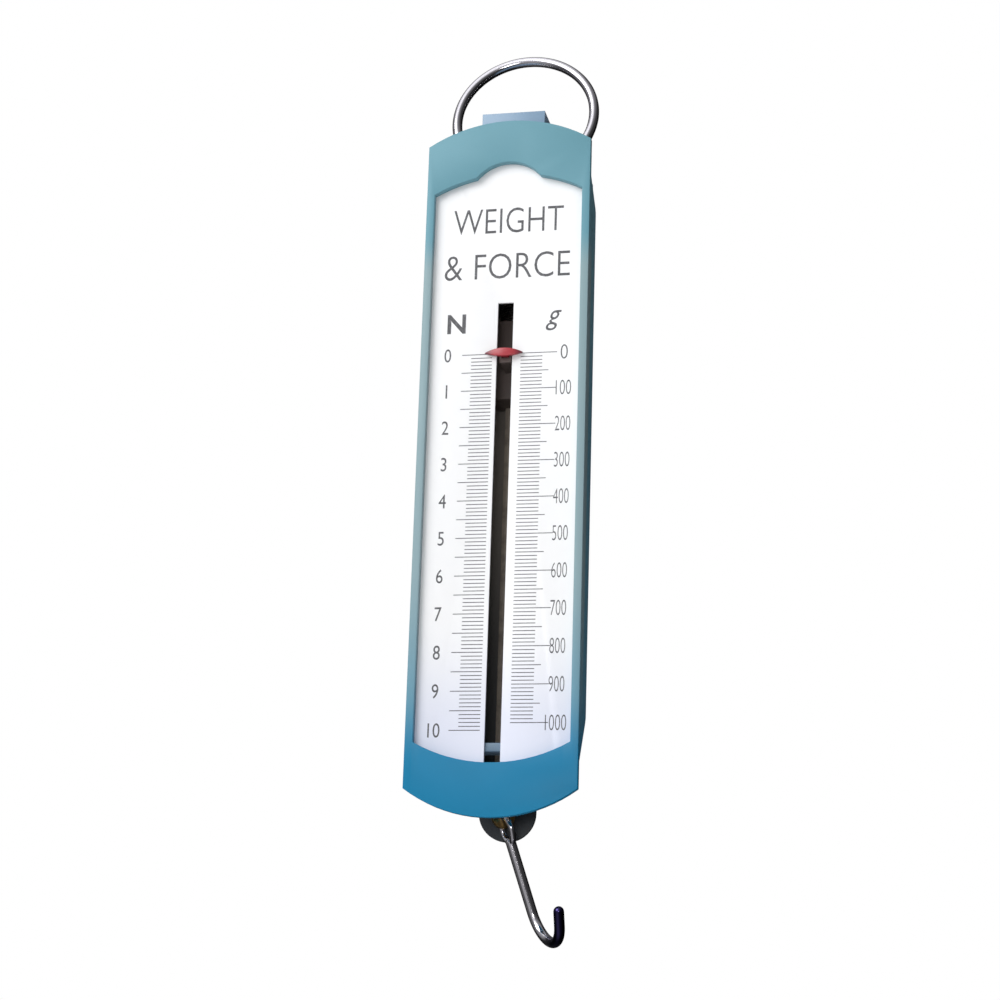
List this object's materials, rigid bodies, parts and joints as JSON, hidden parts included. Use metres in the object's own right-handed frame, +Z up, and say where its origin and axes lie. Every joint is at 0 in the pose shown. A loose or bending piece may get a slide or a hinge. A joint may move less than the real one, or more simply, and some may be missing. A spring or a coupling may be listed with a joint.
{
  "type": "hanging spring scale",
  "caption": "Flat hanging spring scale: framed dial with a slotted plate and pointer, deep rear case, wire hanging ring and swivelling load hook.",
  "frame": {"origin": "inner crown of the hanging ring, where the scale hangs", "axes": "+Z up along the case, -Y out of the dial's face, +X to the right of the dial"},
  "size_m": [0.0446, 0.026, 0.2493],
  "materials": {
    "chrome_wire": "polished plated wire",
    "case_plastic": "moulded satin plastic",
    "dial_plate": "white printed sheet",
    "black_plastic": "moulded semi-gloss plastic",
    "pale_plastic": "moulded semi-gloss plastic",
    "pointer_red": "gloss plastic",
    "bar_steel": "dull rolled strip",
    "spring_steel": "drawn spring wire",
    "screw_steel": "zinc plated",
    "brass": "turned brass",
    "rubber": "soft black rubber"
  },
  "bodies": {
    "ring": {"hanging_ring": "chrome_wire"},
    "case": {"hanger_block": "pale_plastic", "hanger_screws": "screw_steel", "front_frame": "case_plastic", "scale_plate": "dial_plate", "rear_case": "case_plastic", "case_screws": "screw_steel", "spring_channel": "black_plastic", "channel_screws": "screw_steel", "spring_anchor": "brass", "anchor_pin": "screw_steel", "extension_spring": "spring_steel", "bottom_guide": "black_plastic", "guide_pin": "screw_steel", "return_buffer": "rubber", "slot_stop": "pale_plastic"},
    "slider": {"pointer_carrier": "black_plastic", "pointer": "pointer_red", "draw_bar": "bar_steel", "draw_bar_pins": "screw_steel", "swivel_washer": "screw_steel"},
    "swivel": {"swivel": "brass"},
    "hook": {"hook": "chrome_wire"}
  },
  "joints": [
    {"name": "ring_swing", "type": "hinge", "parent": "ring", "child": "case", "pos_m": [0, -0.00567, -0.02915], "axis": [1, 0, 0], "range_deg": [-100, 140]},
    {"name": "pointer_travel", "type": "slide", "parent": "case", "child": "slider", "axis": [0, 0, -1], "range_m": [0, 0.1005], "stiffness_N_per_m": 100, "springref_m": -0.002, "deforming": ["extension_spring"]},
    {"name": "swivel_turn", "type": "hinge", "parent": "slider", "child": "swivel", "pos_m": [0, -0.00567, -0.21115], "axis": [0, 0, 1], "continuous": true},
    {"name": "hook_swing", "type": "hinge", "parent": "swivel", "child": "hook", "pos_m": [0, -0.00567, -0.21365], "axis": [0.515, -0.8572, 0], "range_deg": [-48, 8]}
  ]
}
